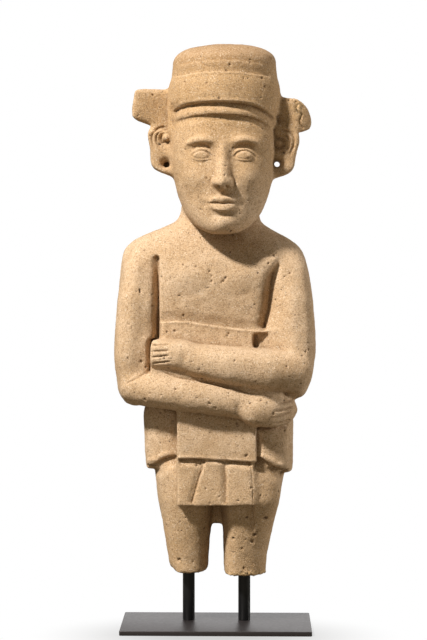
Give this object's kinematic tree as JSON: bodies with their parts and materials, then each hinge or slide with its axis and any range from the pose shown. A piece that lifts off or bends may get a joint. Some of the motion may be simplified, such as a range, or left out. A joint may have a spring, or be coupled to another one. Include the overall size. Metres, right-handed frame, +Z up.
{
  "type": "maya figure",
  "caption": "Standing carved stone figure with folded arms, a banded round hat, pierced ears, a hip cloth and a pleated apron, its broken legs held by rods on a base plate.",
  "frame": {"origin": "middle of the base plate's underside, which rests on the shelf", "axes": "+Z up along the figure's height; the figure faces -Y; +X is the viewer's right, the figure's own left"},
  "size_m": [0.2684, 0.167, 0.7702],
  "materials": {
    "stone": "tan sandy limestone, pitted and weathered, matte",
    "rod_steel": "satin black",
    "plate_steel": "satin dark bronze"
  },
  "bodies": {
    "root": {"stone_figure": "stone", "rod_left": "rod_steel", "rod_right": "rod_steel", "base_plate": "plate_steel"}
  },
  "joints": []
}
